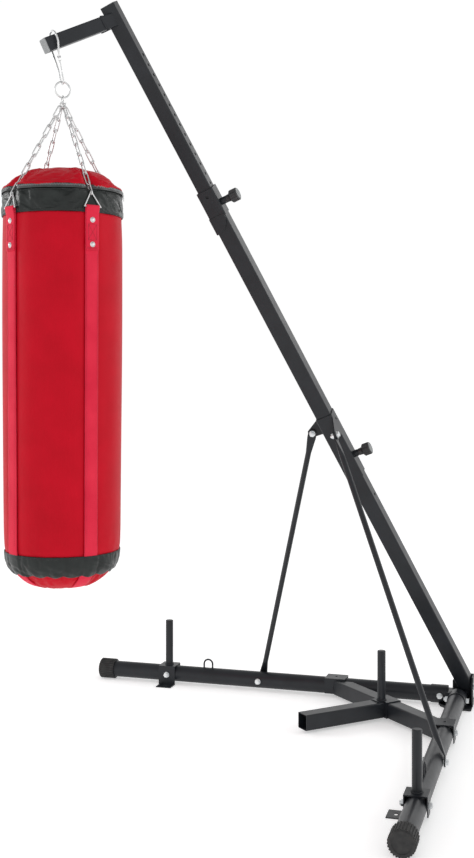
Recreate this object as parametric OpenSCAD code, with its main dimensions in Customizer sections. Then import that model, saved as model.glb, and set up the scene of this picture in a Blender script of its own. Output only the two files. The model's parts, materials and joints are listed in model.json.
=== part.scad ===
// Free-standing punching bag: a V-shaped base, a leaning mast of two square tubes
// that slide in each other, and a canvas bag that hangs from a short arm by a snap
// hook, a ring, a swivel and four chains. Millimetres. +Z is up, -Y is the side
// where the bag hangs, and the origin is on the floor under the point where the
// axes of the two legs meet.

/* [Base] */
// Outer diameter of the leg tubes
leg_d = 57; // [54:1:60]
// Wall of the leg tubes
leg_wall = 2; // [1.5:0.5:3]
// Length of a leg from the corner of the V to the end of its cap
leg_len = 1318; // [1250:1:1400]
// Outer radius of the ribbed end caps, which is also the height of the leg axes
cap_r = 35.5; // [34:0.5:37]
// Distance of the crossbar's saddles from the corner, along the legs
saddle_s = 426; // [400:1:450]
// Distance of the lower stay bolts from the corner, along the legs
stay_s = 706; // [680:1:740]
// Distance of the weight posts from the corner, along the legs
post_s = 1050; // [1000:1:1100]
// Distance of the wire loops from the corner, along the legs
loop_s = 900; // [850:1:940]
// Side of the square tube of the crossbar and the stub
bar_w = 50; // [45:1:50]
// Distance from the corner to the open end of the stub
stub_end = 629; // [560:1:700]
// Outer diameter of the weight posts
post_d = 27; // [24:1:29]
// Height of the weight posts above their saddles
post_h = 162; // [120:1:200]
// Distance of the centre post in front of the crossbar's middle
post_ahead = 22; // [0:1:24]

/* [Mast] */
// Lean of the mast from upright, in degrees
lean = 31.7; // [30:0.1:33]
// Side of the lower, outer mast tube
outer_w = 50; // [50:1:51]
// Side of the upper, inner mast tube
inner_w = 45; // [44:0.5:45]
// Distance of the mast's mouth from the foot, along the mast
mouth_s = 1953; // [1900:1:1980]
// Distance of the top of the upper tube from the foot, along the mast
top_s = 2556; // [2530:1:2580]
// Distance between the adjusting holes
hole_pitch = 32.5; // [30:0.5:34]
// Number of adjusting holes
hole_count = 17; // [16:1:17]
// Diameter of the adjusting holes
hole_d = 10; // [9:0.5:11]
// Side of the square tube of the arm
arm_w = 40; // [38:1:42]
// Length of the arm from the axis of the mast to its end
arm_len = 243; // [235:1:250]
// Slope of the arm below level, in degrees
arm_slope = 26; // [24:0.5:28]

/* [Stays] */
// Diameter of the stay tubes
stay_d = 18; // [16:1:20]
// Width of the flattened ends of the stays
flat_w = 28; // [26:1:30]

/* [Bag] */
// Radius of the bag
bag_r = 171; // [168:1:172]
// Distance from the corner of the base to the axis of the bag
bag_front = 1430; // [1425:1:1435]
// Height of the underside of the bag
bag_low = 540; // [530:1:560]
// Height of the top of the bag's cover
bag_high = 1724; // [1720:1:1728]
// Angle by which the four straps are turned from the axes of the stand
strap_turn = 7.5; // [0:0.5:12]
// Width of the straps
strap_w = 40; // [36:1:42]

/* [Chains] */
// Diameter of the chain wire
wire_d = 4; // [3.5:0.5:4]
// Number of links in each chain
link_count = 9; // [9:2:9]

/* [Hidden] */
$fn = 48;

frame_black = "#2b2e31";
zinc = "#c9ccd0";
rubber_black = "#1b1c1e";
bag_red = "#c4102a";
strap_red = "#d8233c";
trim_black = "#2c312f";

v_half = 45;
corner_r = 4;
tube_wall = 2;
bolt_d = 10;
bolt_hole = 10.6;
plate = 3;
foot_back = 54;
pad_h = 4;
hub_plate_h = 5;
hub_reach = 44;
hub_top = 100;
hub_bolt_s = 62;
hub_bolt_zs = [28, -15];
collar_len = 50;
collar_wall = 2.5;
leg_start = 44;
cap_len = 57;
cap_wall = 6;
rib_count = 28;
saddle_len = 72;
clip_len = 76;
saddle_drop = 22;
leg_top = leg_d / 2;
cross_front = saddle_s * cos(v_half);
rest_hole = 15;
sleeve_w = outer_w + 5;
sleeve_len = 90;
collar_w = outer_w + 6;
collar_top = 1142;
collar_low = 908;
collar_pin = 979;
collar_hole = 822;
ear_s = 1089;
ear_out = 45;
ear_r = 14.5;
ear_t = 4;
flat_t = 4;
bend_len = 46;
pin_r = 4.6;
pin_bore = 4.65;
barrel_r = 11;
barrel_len = 16;
pin_gap = 15;
knob_r = 20;
knob_len = 32;
first_hole = 169;
pin_s = top_s - first_hole - rest_hole * hole_pitch;
pin_depth = mouth_s - pin_s;
upper_len = first_hole + (hole_count - 1) * hole_pitch + 70;

hook_wire = 6;
hook_s = 212;
hook_low_z = 1964.6;
ring_wire = 5;
ring_r = 22.5;
ring_z = hook_low_z + hook_wire / 2 + ring_wire / 2 + 0.2 - ring_r;
eye_wire = 4;
eye_r = 7;
eye_z = ring_z - ring_r + ring_wire / 2 + eye_wire / 2 + 0.2 - eye_r;
shank_r = 2.5;
shank_bore = 2.56;
yoke_top = eye_z - eye_r - 4;
yoke_plate = 4;
chain_ring_z = yoke_top - 16;
chain_ring_r = 9;

band_low = 1585;
band_high = 1660;
foot_band_low = 598;
foot_band_high = 642;
strap_t = 2.5;
strap_in = bag_r + 0.3;
bar_r = 174.6;
bar_z = 1597;
apex_r = 165;
apex_z = 1640;
tri_wire = 4;
tri_half = 25;
rivet_zs = [1561, 1494];
loop_end_z = 1478;
// The last link's bow lies this far below the triangle's apex, clear of both its wires.
seat_drop = 5.4;
tri_height = norm([bar_r - apex_r, apex_z - bar_z]);
seat_r = apex_r + (bar_r - apex_r) * seat_drop / tri_height;
seat_z = apex_z - (apex_z - bar_z) * seat_drop / tri_height;
chain_run = norm([seat_r - chain_ring_r, seat_z - chain_ring_z]);
strap_turns = [0, 90, 180, 277];
end_play = 0.3;
// Each chain spans chain_run exactly: link_in is the inner length of one link.
link_in = (chain_run + (link_count - 1) * (wire_d + end_play) + wire_d + 2 * end_play)
    / link_count;
link_pitch = link_in - wire_d - end_play;
link_w = 16;

// ---- Places ----

module side_of(side) {
    mirror([side < 0 ? 1 : 0, 0, 0]) children();
}

// On the right leg's axis: x runs out along the leg and y points out of the V.
module on_leg(s) {
    translate([0, 0, cap_r]) rotate([0, 0, v_half - 90]) translate([s, 0, 0]) children();
}

// On the mast's axis: z runs up the mast, and x and y are normal to its rear faces.
module on_mast(s) {
    translate([0, foot_back, cap_r]) rotate([lean, 0, 0]) translate([0, 0, s])
        rotate([0, 0, 45]) children();
}

function mast_point(s, x, y) = let (
    across = (x - y) / sqrt(2),
    back = (x + y) / sqrt(2)
) [
    across,
    foot_back - s * sin(lean) + back * cos(lean),
    cap_r + s * cos(lean) + back * sin(lean)
];

function leg_point(s, out) = [
    s * sin(v_half) + out * cos(v_half),
    -s * cos(v_half) + out * sin(v_half),
    cap_r
];

// At the bag's axis: x points along the first strap.
module on_bag(turn, z) {
    translate([0, -bag_front, z]) rotate([0, 0, strap_turn + turn]) children();
}

// Points the z axis from one point to another.
module aim(from, to) {
    way = to - from;
    translate(from) rotate([0, acos(way[2] / norm(way)), atan2(way[1], way[0])]) children();
}

// ---- Stock shapes ----

module rounded_square(w, r) {
    square([w, w - 2 * r], center = true);
    square([w - 2 * r, w], center = true);
    for (x = [-1, 1], y = [-1, 1])
        translate([x * (w / 2 - r), y * (w / 2 - r)]) circle(r = r);
}

module square_tube(w, wall, len) {
    linear_extrude(len) difference() {
        rounded_square(w, corner_r);
        rounded_square(w - 2 * wall, corner_r - wall);
    }
}

module round_tube(d, wall, len) {
    difference() {
        cylinder(d = d, h = len);
        translate([0, 0, -1]) cylinder(d = d - 2 * wall, h = len + 2);
    }
}

// Hexagon bolt with washers and a nut. The head's washer rests at z = 0 and the
// nut's washer at z = -grip.
module bolt(grip) {
    washer_t = 1.6;
    head_t = 6.4;
    nut_t = 8;
    tip = 4;
    difference() {
        union() {
            cylinder(d = 20, h = washer_t);
            translate([0, 0, washer_t]) cylinder(d = 18, h = head_t, $fn = 6);
        }
        translate([0, 0, washer_t + head_t - 0.6]) cylinder(d = 12, h = 1);
    }
    translate([0, 0, -grip - washer_t - nut_t - tip])
        cylinder(d = bolt_d, h = grip + washer_t + nut_t + tip);
    translate([0, 0, -grip - washer_t]) cylinder(d = 20, h = washer_t);
    translate([0, 0, -grip - washer_t - nut_t]) cylinder(d = 18, h = nut_t, $fn = 6);
}

// Bolt through a leg, with its head on the outer side.
module leg_bolt(s, outer, inner) {
    on_leg(s) translate([0, outer, 0]) rotate([-90, 0, 0]) bolt(outer + inner);
}

module leg_hole(s, d) {
    translate([s, 0, 0]) rotate([90, 0, 0]) cylinder(d = d, h = leg_d + 40, center = true);
}

module torus(r, wire) {
    rotate_extrude() translate([r, 0]) circle(d = wire, $fn = 24);
}

// Chain link along z, in the xz plane.
module link() {
    bend = (link_w - wire_d) / 2;
    straight = link_in + wire_d - 2 * bend;
    for (end = [-1, 1])
        translate([0, 0, end * straight / 2]) rotate([90, 0, 0])
            rotate([0, 0, end > 0 ? 0 : 180]) rotate_extrude(angle = 180)
                translate([bend, 0]) circle(d = wire_d, $fn = 16);
    for (x = [-1, 1])
        translate([x * bend, 0, -straight / 2]) cylinder(d = wire_d, h = straight, $fn = 16);
}

// ---- Base ----

module hub_side_plate(back) {
    linear_extrude(hub_plate_h) polygon([
        [back, pad_h + 1],
        [26, pad_h + 1],
        [26, hub_top - 28],
        [8, hub_top],
        [back, hub_top]
    ]);
}

module mast_envelope() {
    on_mast(-80) linear_extrude(400) rounded_square(outer_w, corner_r);
}

module hub() {
    outside = hub_reach + hub_plate_h;
    edge = outside - 1;
    block = leg_start - 4;
    color(frame_black) difference() {
        union() {
            rotate([0, 0, v_half - 90]) {
                translate([0, 0, pad_h]) linear_extrude(hub_plate_h)
                    polygon([[-edge, edge], [66, edge], [66, -26], [26, -66], [-edge, -66]]);
                translate([0, outside, 0]) rotate([90, 0, 0]) hub_side_plate(-hub_reach - 1);
                rotate([0, 0, 90]) mirror([1, 0, 0])
                    translate([0, outside, 0]) rotate([90, 0, 0]) hub_side_plate(-outside);
                translate([-30, -block, pad_h + 2]) cube([30 + block, 30 + block, 45]);
            }
            for (side = [-1, 1])
                side_of(side) on_leg(leg_start - 8) rotate([0, 90, 0])
                    cylinder(d = leg_d + 2 * collar_wall, h = collar_len + 8);
        }
        mast_envelope();
        for (side = [-1, 1])
            side_of(side) {
                on_leg(leg_start) rotate([0, 90, 0])
                    cylinder(d = leg_d + 0.1, h = collar_len + 1);
                on_leg(0) leg_hole(hub_bolt_s, bolt_hole);
                for (z = hub_bolt_zs) on_leg(0) translate([-10, hub_reach - 1, z])
                    rotate([-90, 0, 0]) cylinder(d = bolt_hole, h = 8);
            }
    }
}

module hub_pad() {
    color(rubber_black) rotate([0, 0, v_half - 90]) linear_extrude(pad_h) polygon([
        [-hub_reach - 2, hub_reach + 2],
        [62, hub_reach + 2],
        [62, -28],
        [28, -62],
        [-hub_reach - 2, -62]
    ]);
}

module hub_bolts() {
    color(zinc) for (side = [-1, 1]) side_of(side) {
        leg_bolt(hub_bolt_s, leg_d / 2 + collar_wall, leg_d / 2 + collar_wall);
        for (z = hub_bolt_zs)
            on_leg(0) translate([-10, hub_reach + hub_plate_h, z]) rotate([-90, 0, 0]) {
                cylinder(d = 18, h = 1.6);
                translate([0, 0, 1.6]) cylinder(d = 16, h = 6, $fn = 6);
                translate([0, 0, -hub_plate_h]) cylinder(d = bolt_d, h = hub_plate_h);
            }
    }
}

module leg(side) {
    color(frame_black) side_of(side) on_leg(0) difference() {
        translate([leg_start, 0, 0]) rotate([0, 90, 0])
            round_tube(leg_d, leg_wall, leg_len - cap_wall - leg_start);
        for (s = [hub_bolt_s, saddle_s, stay_s, post_s]) leg_hole(s, bolt_hole);
    }
}

// Outline with ribs all round, as a star of flat crests and valleys.
module ribbed(crest, valley) {
    step = 360 / rib_count;
    polygon([
        for (i = [0 : rib_count - 1], corner = [[valley, 0], [crest, 0.1], [crest, 0.5], [valley, 0.6]])
            corner[0] * [cos((i + corner[1]) * step), sin((i + corner[1]) * step)]
    ]);
}

module leg_cap(side) {
    valley = cap_r - 2;
    rim = 3;
    color(rubber_black) side_of(side) on_leg(leg_len - cap_len) rotate([0, 90, 0])
        difference() {
            union() {
                linear_extrude(cap_len - rim) ribbed(cap_r, valley);
                translate([0, 0, cap_len - rim]) cylinder(r1 = valley - 0.5, r2 = valley - 3, h = rim);
            }
            translate([0, 0, -1]) cylinder(d = leg_d + 0.1, h = cap_len - cap_wall + 1);
            translate([0, 0, cap_len - 1.5]) cylinder(r = valley - 9, h = 3);
        }
}

// Straight tube across the V, cut along both legs.
module crossbar() {
    clear = leg_d / 2 + plate + 0.3;
    color(frame_black) difference() {
        translate([0, -cross_front, cap_r]) rotate([0, 90, 0]) translate([0, 0, -saddle_s])
            square_tube(bar_w, tube_wall, 2 * saddle_s);
        for (side = [-1, 1]) side_of(side)
            on_leg(-saddle_s) translate([0, -clear, -100]) cube([4 * saddle_s, 400, 200]);
    }
}

// Inverted U over the leg. Its outer flange has a rounded foot.
module saddle_shell(len, inner_drop, outer_drop) {
    gap = 0.1;
    translate([-len / 2, -leg_top - gap - plate, leg_top + gap])
        cube([len, leg_d + 2 * gap + 2 * plate, plate]);
    translate([-len / 2, -leg_top - gap - plate, -inner_drop])
        cube([len, plate, leg_top + gap + inner_drop]);
    translate([0, leg_top + gap + plate, 0]) rotate([90, 0, 0]) linear_extrude(plate)
        polygon([
            [-len / 2, leg_top + gap + plate],
            [len / 2, leg_top + gap + plate],
            [len / 2, 4],
            [len / 2 - 12, -outer_drop],
            [-len / 2 + 12, -outer_drop],
            [-len / 2, 4]
        ]);
}

module saddle(side) {
    color(frame_black) side_of(side) on_leg(saddle_s) difference() {
        saddle_shell(saddle_len, saddle_drop, saddle_drop + 4);
        leg_hole(0, bolt_hole);
        translate([0, 0, leg_top - 1]) cylinder(d = 9, h = plate + 4);
    }
}

// Long bolts through the post saddles, and short ones into the outer side of the
// legs at the crossbar.
module leg_bolts() {
    reach = leg_d / 2 + plate + 0.1;
    color(zinc) for (side = [-1, 1]) side_of(side) {
        leg_bolt(post_s, reach, reach);
        on_leg(saddle_s) translate([0, reach, 0]) rotate([-90, 0, 0]) bolt(plate + leg_wall + 2.3);
    }
}

// Folded plate over the middle of the crossbar that carries the centre post.
module centre_clip() {
    gap = 0.1;
    tongue = post_ahead;
    tongue_w = bar_w - 6;
    low = cap_r - bar_w / 2;
    color(frame_black) translate([0, -cross_front, 0]) difference() {
        translate([-clip_len / 2, -bar_w / 2 - gap - plate, low])
            cube([clip_len, bar_w + 2 * gap + 2 * plate, bar_w + gap + plate]);
        translate([-clip_len, -bar_w / 2 - gap, low - 1])
            cube([2 * clip_len, bar_w + 2 * gap, bar_w + gap + 1]);
    }
    color(frame_black) translate([-tongue_w / 2, -cross_front - bar_w / 2 - tongue, low + bar_w + gap])
        cube([tongue_w, tongue, plate]);
}

module stub() {
    start = cross_front + bar_w / 2 + 0.1 + plate;
    color(frame_black) translate([0, -start, cap_r]) rotate([90, 0, 0])
        square_tube(bar_w, tube_wall, stub_end - start);
}

// Weight post: a tube with a rounded top.
module post() {
    round_end = 3;
    rotate_extrude() difference() {
        union() {
            square([post_d / 2, post_h - round_end]);
            square([post_d / 2 - round_end, post_h]);
            translate([post_d / 2 - round_end, post_h - round_end]) circle(r = round_end);
        }
        translate([-50, -50]) square([50, 400]);
        square([post_d / 2 - tube_wall, post_h - 4]);
    }
}

module centre_post() {
    top = cap_r + bar_w / 2 + 0.1 + plate;
    color(frame_black) translate([0, -cross_front - post_ahead, top]) post();
}

// Saddle whose inner flange runs down and folds out to a floor tab with a slot.
module post_saddle(side) {
    len = 62;
    tab_z = -cap_r;
    tab_reach = 46;
    color(frame_black) side_of(side) on_leg(post_s) difference() {
        union() {
            saddle_shell(len, cap_r, saddle_drop + 4);
            translate([-len / 2, -leg_top - 0.1 - plate - tab_reach, tab_z])
                cube([len - 6, tab_reach + plate, plate]);
        }
        leg_hole(0, bolt_hole);
        translate([-3, -leg_top - 26, tab_z - 1]) slot_cut(9, 18, plate + 2);
    }
}

// Round-ended slot along x.
module slot_cut(w, len, h) {
    for (x = [-1, 1]) translate([x * (len - w) / 2, 0, 0]) cylinder(d = w, h = h);
    translate([-(len - w) / 2, -w / 2, 0]) cube([len - w, w, h]);
}

module weight_post(side) {
    color(frame_black) side_of(side) on_leg(post_s)
        translate([0, 0, leg_top + 0.1 + plate]) post();
}

// Bent wire handle, welded on top of the leg.
module wire_loop(side) {
    r = 16;
    wire = 6;
    rise = 14;
    color(frame_black) side_of(side) on_leg(loop_s) difference() {
        union() {
            translate([0, 0, leg_top + rise]) rotate([90, 0, 0]) rotate_extrude(angle = 180)
                translate([r, 0]) circle(d = wire);
            for (x = [-1, 1])
                translate([x * r, 0, leg_top - 3]) cylinder(d = wire, h = rise + 3);
        }
        translate([-40, 0, 0]) rotate([0, 90, 0]) cylinder(d = leg_d, h = 80);
    }
}

// ---- Mast ----

module mast_lower() {
    color(frame_black) difference() {
        on_mast(-60) square_tube(outer_w, tube_wall, mouth_s + 60 - 4);
        rotate([0, 0, v_half - 90]) {
            translate([-200, hub_reach, -200]) cube([400, 200, 400]);
            translate([-hub_reach - 200, -200, -200]) cube([200, 400, 400]);
        }
        translate([-200, -200, -200]) cube([400, 400, 200 + pad_h + hub_plate_h]);
        for (s = [mouth_s - pin_depth, collar_pin, collar_hole])
            on_mast(s) rotate([0, 90, 0]) cylinder(d = hole_d, h = 100);
        on_mast(mouth_s - 22) rotate([90, 0, 0]) cylinder(d = 6, h = 100);
    }
}

// Square sleeve at the mouth, with a round tongue down its front corner.
module mouth_sleeve() {
    tongue_r = 48;
    color(frame_black) on_mast(mouth_s - sleeve_len) difference() {
        union() {
            linear_extrude(sleeve_len) rounded_square(sleeve_w, corner_r + 1);
            intersection() {
                translate([0, 0, -tongue_r]) linear_extrude(tongue_r + 6)
                    rounded_square(sleeve_w + 4, corner_r + 2);
                translate([-outer_w / 2, -outer_w / 2, 0]) sphere(r = tongue_r);
            }
        }
        translate([0, 0, -60]) linear_extrude(sleeve_len + 100)
            rounded_square(outer_w, corner_r);
        translate([0, 0, sleeve_len - pin_depth]) rotate([0, 90, 0]) cylinder(d = hole_d, h = 60);
        translate([0, 0, sleeve_len - 20]) rotate([90, 0, 0]) cylinder(d = 10, h = 60);
    }
}

// Plastic lip that closes the gap between the two mast tubes.
module guide_bush() {
    lip = 4;
    color(rubber_black) on_mast(mouth_s - lip) linear_extrude(lip) difference() {
        rounded_square(outer_w - 0.1, corner_r);
        rounded_square(inner_w + 2 * 0.35, corner_r);
    }
}

// Folded sleeve that ties the stays to the mast, with an ear on each side.
module collar() {
    len = collar_top - collar_low;
    ear_y = collar_w / 2 + ear_out;
    color(frame_black) on_mast(collar_low) difference() {
        union() {
            linear_extrude(len) rounded_square(collar_w, corner_r + 1);
            for (flip = [0, 1]) mirror([flip, flip ? -1 : 0, 0]) {
                translate([collar_w / 2 - ear_t, -ear_y, ear_s - collar_low])
                    rotate([0, 90, 0]) cylinder(r = ear_r, h = ear_t);
                translate([collar_w / 2 - ear_t, 0, ear_s - collar_low])
                    rotate([90, 0, 90]) linear_extrude(ear_t) polygon([
                        [-ear_y - ear_r * cos(25), -ear_r * sin(25)],
                        [-ear_y - ear_r * cos(25), ear_r * sin(25) + 4],
                        [-collar_w / 2 + 6, 46],
                        [-collar_w / 2 + 6, -ear_r - 4],
                        [-ear_y, -ear_r]
                    ]);
            }
        }
        translate([0, 0, -1]) linear_extrude(len + 2) rounded_square(outer_w, corner_r);
        translate([0, 0, collar_pin - collar_low]) rotate([0, 90, 0])
            cylinder(d = hole_d, h = 60);
        translate([0, 0, len - 27]) rotate([0, 90, 0]) cylinder(d = 9, h = 60);
        for (flip = [0, 1]) mirror([flip, flip ? -1 : 0, 0])
            translate([0, -ear_y, ear_s - collar_low]) rotate([0, 90, 0])
                cylinder(d = bolt_hole, h = 60);
    }
}

// ---- Pull pins: x points out of the mast's face ----

module on_pin(which) {
    on_mast(which == "upper" ? mouth_s - pin_depth : collar_pin)
        translate([which == "upper" ? sleeve_w / 2 : collar_w / 2, 0, 0])
            rotate([0, 90, 0]) children();
}

module barrel(which) {
    color(frame_black) on_pin(which) difference() {
        union() {
            cylinder(r = barrel_r, h = barrel_len - 5);
            translate([0, 0, barrel_len - 5]) cylinder(r = barrel_r, h = 5, $fn = 6);
        }
        translate([0, 0, -1]) cylinder(r = pin_bore + 3, h = barrel_len - 3);
        translate([0, 0, -1]) cylinder(r = pin_bore, h = barrel_len + 2);
    }
}

// The tip stops just short of the inner tube, so that the tube can slide.
module pin(which) {
    tip = which == "upper" ? (sleeve_w - inner_w) / 2 - 0.3 : (collar_w - inner_w) / 2 - 0.3;
    color(zinc) on_pin(which) {
        translate([0, 0, -tip]) cylinder(r = pin_r, h = tip + barrel_len + pin_gap);
        translate([0, 0, 1]) cylinder(r = pin_r + 2, h = 1.5);
    }
}

module knob(which) {
    flutes = 8;
    neck = 8;
    color(rubber_black) on_pin(which) translate([0, 0, barrel_len + pin_gap - 6])
        difference() {
            rotate_extrude() polygon([
                [0, -neck],
                [11, -neck],
                [12, 3],
                [knob_r, 9],
                [knob_r, knob_len - 2],
                [knob_r - 2.5, knob_len],
                [0, knob_len]
            ]);
            for (i = [0 : flutes - 1]) rotate([0, 0, i * 360 / flutes])
                translate([knob_r + 2.4, 0, -1]) cylinder(r = 5.6, h = knob_len - 1.6);
            translate([0, 0, -neck - 1]) cylinder(r = pin_r, h = neck + 7);
        }
}

// Return spring inside the barrel, as a sleeve of its outer and inner size.
module pin_spring(which) {
    color(zinc) on_pin(which) translate([0, 0, 2.5]) difference() {
        cylinder(r = pin_r + 2.6, h = barrel_len - 6.6);
        translate([0, 0, -1]) cylinder(r = pin_r + 0.6, h = barrel_len);
    }
}

// ---- Stays ----

// The flat end lies against a face whose normal is the x axis of the place.
module flat_end(from, to, normal, width, reach) {
    // The plate is drawn in its own plane: z along the stay, x along the normal.
    way = (to - from) / norm(to - from);
    along = (way - normal * (way * normal)) / norm(way - normal * (way * normal));
    across = cross(along, normal);
    multmatrix([
        [normal[0], across[0], along[0], from[0]],
        [normal[1], across[1], along[1], from[1]],
        [normal[2], across[2], along[2], from[2]],
        [0, 0, 0, 1]
    ]) difference() {
        union() {
            rotate([0, 90, 0]) cylinder(d = width, h = flat_t, center = true);
            translate([-flat_t / 2, -width / 2, 0]) cube([flat_t, width, reach]);
        }
        rotate([0, 90, 0]) cylinder(d = bolt_hole, h = 3 * flat_t, center = true);
    }
}

// A thin slice of a flat end, for the taper between it and the tube.
module flat_slice(from, to, normal, reach) {
    way = (to - from) / norm(to - from);
    along = (way - normal * (way * normal)) / norm(way - normal * (way * normal));
    across = cross(along, normal);
    multmatrix([
        [normal[0], across[0], along[0], from[0]],
        [normal[1], across[1], along[1], from[1]],
        [normal[2], across[2], along[2], from[2]],
        [0, 0, 0, 1]
    ]) translate([-flat_t / 2 + 0.2, -flat_w / 2 + 0.2, reach - 2])
        cube([flat_t - 0.4, flat_w - 0.4, 1]);
}

ear_face_x = collar_w / 2 - ear_t - flat_t / 2;
stay_top = mast_point(ear_s, ear_face_x, -collar_w / 2 - ear_out);
stay_low = leg_point(stay_s, leg_d / 2 + flat_t / 2 + 1.6);
ear_normal = [1 / sqrt(2), cos(lean) / sqrt(2), sin(lean) / sqrt(2)];
leg_normal = [cos(v_half), sin(v_half), 0];

module stay(side) {
    way = (stay_low - stay_top) / norm(stay_low - stay_top);
    tube_top = stay_top + way * bend_len * 1.6;
    tube_low = stay_low - way * bend_len * 1.6;
    reach = flat_w / 2 + 6;
    neck_d = stay_d - 0.4;
    color(frame_black) side_of(side) {
        flat_end(stay_top, stay_low, ear_normal, flat_w, reach);
        flat_end(stay_low, stay_top, leg_normal, flat_w, reach);
        aim(tube_top, tube_low) cylinder(d = stay_d, h = norm(tube_low - tube_top));
        hull() {
            flat_slice(stay_top, stay_low, ear_normal, reach);
            aim(tube_top, tube_low) cylinder(d = neck_d, h = 2, $fn = 32);
        }
        hull() {
            flat_slice(stay_low, stay_top, leg_normal, reach);
            aim(tube_low, tube_top) cylinder(d = neck_d, h = 2, $fn = 32);
        }
    }
}

module stay_bolts() {
    ear_y = collar_w / 2 + ear_out;
    color(zinc) {
        for (side = [-1, 1]) side_of(side) {
            on_mast(ear_s) translate([collar_w / 2, -ear_y, 0]) rotate([0, 90, 0])
                bolt(ear_t + flat_t);
            leg_bolt(stay_s, leg_d / 2 + 1.6 + flat_t, leg_d / 2);
            on_leg(stay_s) translate([0, leg_d / 2, 0]) rotate([-90, 0, 0]) difference() {
                cylinder(d = 20, h = 1.6);
                translate([0, 0, -1]) cylinder(d = bolt_d, h = 4);
            }
        }
    }
}

// ---- Upper mast and arm ----

arm_s = top_s - 45;
arm_base = mast_point(arm_s, 0, 0);

// On the arm's axis: z runs out along the arm, and x is across the stand.
module on_arm(s) {
    translate(arm_base) rotate([90 + arm_slope, 0, 0]) translate([0, 0, s]) children();
}

module mast_upper() {
    color(frame_black) difference() {
        on_mast(top_s - upper_len) square_tube(inner_w, tube_wall, upper_len - 2);
        for (i = [0 : hole_count - 1])
            on_mast(top_s - first_hole - i * hole_pitch) rotate([0, 90, 0])
                cylinder(d = hole_d, h = 100);
    }
}

module mast_cap() {
    color(rubber_black) on_mast(top_s - 2) {
        linear_extrude(2) rounded_square(inner_w, corner_r);
        translate([0, 0, -12]) linear_extrude(12)
            rounded_square(inner_w - 2 * tube_wall, corner_r - tube_wall);
    }
}

module arm() {
    color(frame_black) difference() {
        on_arm(0) square_tube(arm_w, tube_wall, arm_len - 2);
        on_mast(arm_s - 200) linear_extrude(400) rounded_square(inner_w, corner_r);
        on_mast(arm_s - 200) rotate([0, 0, -45]) translate([-100, 0, 0]) cube([200, 200, 400]);
    }
}

module arm_cap() {
    color("#8a8d8f") on_arm(arm_len - 2) {
        linear_extrude(2) rounded_square(arm_w, corner_r);
        translate([0, 0, -10]) linear_extrude(10)
            rounded_square(arm_w - 2 * tube_wall, corner_r - tube_wall);
    }
}

// ---- Hook, ring and swivel ----

hook_low = [0, -bag_front, hook_low_z];
hook_eye = arm_base + hook_s * [0, -cos(arm_slope), -sin(arm_slope)];
hook_tilt = atan2(hook_low[1] - hook_eye[1], hook_eye[2] - hook_low[2]);
hook_bow = 32;
bow_z = norm(hook_eye - hook_low);
low_bow = 10;

// On the hook: z runs up from its lower bow to its upper bow, in the hook's plane.
module on_hook() {
    translate(hook_low) rotate([hook_tilt, 0, 0]) mirror([1, 0, 0]) children();
}

// Round wire from one point of the xz plane to another, with a knuckle at its start.
module wire_to(a, b, d, knuckle) {
    translate([a[0], 0, a[1]]) sphere(d = knuckle, $fn = 24);
    translate([a[0], 0, a[1]]) rotate([0, atan2(b[0] - a[0], b[1] - a[1]), 0])
        cylinder(d = d, h = norm([b[0] - a[0], b[1] - a[1]]), $fn = 24);
}

gate_x = -low_bow - 3;
gate_z = bow_z - 44;
gate_wire = 5;
cheek_t = 1.5;
neck_z = low_bow + 30;

// Half circle of wire, open downwards, or upwards when it is turned over.
module wire_bow(r, z, over) {
    translate([0, 0, z]) rotate([90, 0, 0]) rotate([0, 0, over ? 180 : 0])
        rotate_extrude(angle = 180) translate([r, 0]) circle(d = hook_wire, $fn = 24);
}

// Open wire: the lower bow holds the ring, the upper bow goes round the arm, and
// the left side stops at the gate's rivet.
module snap_hook() {
    knuckle = hook_wire + 0.3;
    lip = low_bow + 22;
    color(zinc) on_hook() difference() {
        union() {
            wire_bow(low_bow, low_bow, true);
            translate([-low_bow, 0, low_bow]) cylinder(d = hook_wire, h = lip - low_bow, $fn = 24);
            translate([low_bow, 0, low_bow]) cylinder(d = hook_wire, h = neck_z - low_bow, $fn = 24);
            wire_to([low_bow, neck_z], [hook_bow, bow_z - 4], hook_wire, knuckle);
            wire_to([hook_bow, bow_z - 4], [hook_bow, bow_z], hook_wire, knuckle);
            wire_bow(hook_bow, bow_z, false);
            wire_to([-hook_bow, bow_z - 4], [-hook_bow, bow_z], hook_wire, knuckle);
            wire_to([gate_x, gate_z], [-hook_bow, bow_z - 4], hook_wire, knuckle);
        }
        translate([gate_x, 0, gate_z]) rotate([90, 0, 0])
            cylinder(r = 1.5, h = 20, center = true);
    }
}

// Spring gate: a short rod with two cheeks on the rivet.
module hook_gate() {
    cheek_y = hook_wire / 2 + 0.2;
    rod_top = gate_z - 7;
    rod_low = low_bow + 22 + hook_wire / 2 + 1;
    color(zinc) on_hook() difference() {
        union() {
            for (y = [-cheek_y - cheek_t, cheek_y]) {
                translate([gate_x, y + cheek_t, gate_z]) rotate([90, 0, 0])
                    cylinder(r = 3.6, h = cheek_t);
                translate([gate_x - 2.5, y, rod_top - 3]) cube([5, cheek_t, 3 + gate_z - rod_top]);
            }
            translate([gate_x - 2.5, -cheek_y - 0.2, rod_top - 5]) cube([5, 2 * cheek_y + 0.4, 4]);
            translate([gate_x, 0, rod_low]) cylinder(d = gate_wire, h = rod_top - rod_low - 2);
        }
        translate([gate_x, 0, gate_z]) rotate([90, 0, 0])
            cylinder(r = 1.55, h = 20, center = true);
    }
}

module hook_rivet() {
    reach = hook_wire / 2 + 0.2 + cheek_t + 0.1;
    color(zinc) on_hook() translate([gate_x, 0, gate_z]) rotate([90, 0, 0]) {
        cylinder(r = 1.5, h = 2 * reach, center = true);
        for (z = [-reach - 1, reach]) translate([0, 0, z]) cylinder(r = 2.6, h = 1);
    }
}

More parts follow.
